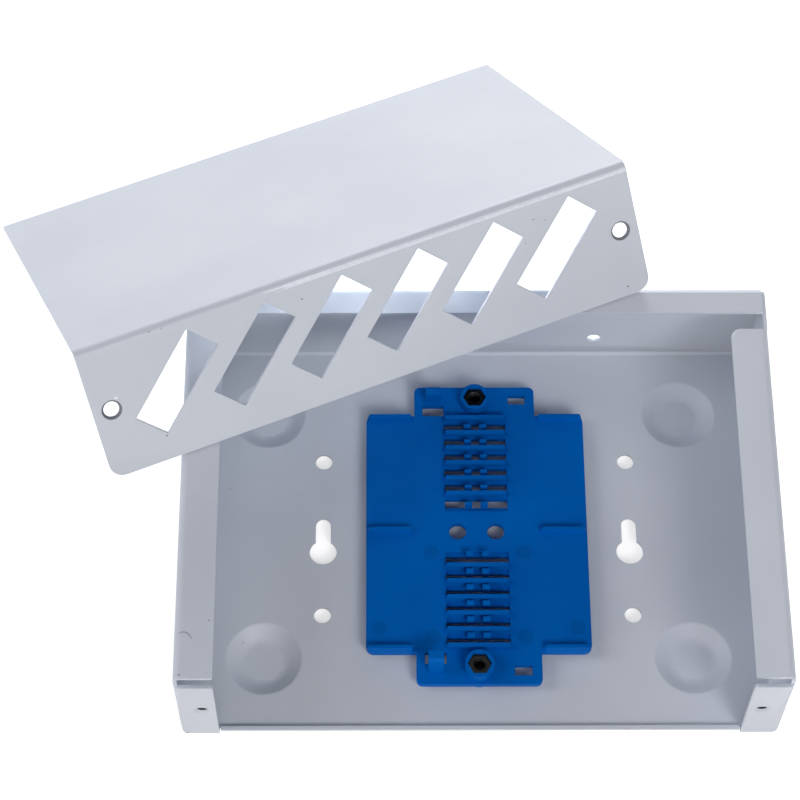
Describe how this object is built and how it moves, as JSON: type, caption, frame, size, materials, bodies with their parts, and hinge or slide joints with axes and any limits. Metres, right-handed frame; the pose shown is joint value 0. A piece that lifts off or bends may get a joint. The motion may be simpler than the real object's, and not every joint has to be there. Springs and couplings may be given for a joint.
{
  "type": "fibre optic wall box",
  "caption": "Shallow folded steel wall box for fibre splices, opened: tray with a blue splice plate and its L-shaped port cover leaning on the edge.",
  "frame": {"origin": "centre of the four wall fixing holes, on the outer face of the tray's base", "axes": "+Z out of the wall into the tray, +Y towards the tray's closed back wall, so the open long side with the tabs and the lip faces -Y; +X to the right seen from the open side"},
  "size_m": [0.2118, 0.2123, 0.0668],
  "materials": {
    "powder_coat": "light grey powder coat, fine satin texture",
    "blue_plastic": "moulded blue plastic, satin",
    "black_metal": "black plated, glossy",
    "screw_metal": "zinc plated"
  },
  "bodies": {
    "root": {"housing_tray": "powder_coat", "port_cover": "powder_coat", "splice_plate": "blue_plastic", "standoff_upper": "black_metal", "standoff_lower": "black_metal", "standoff_screw_upper": "screw_metal", "standoff_screw_lower": "screw_metal"}
  },
  "joints": []
}
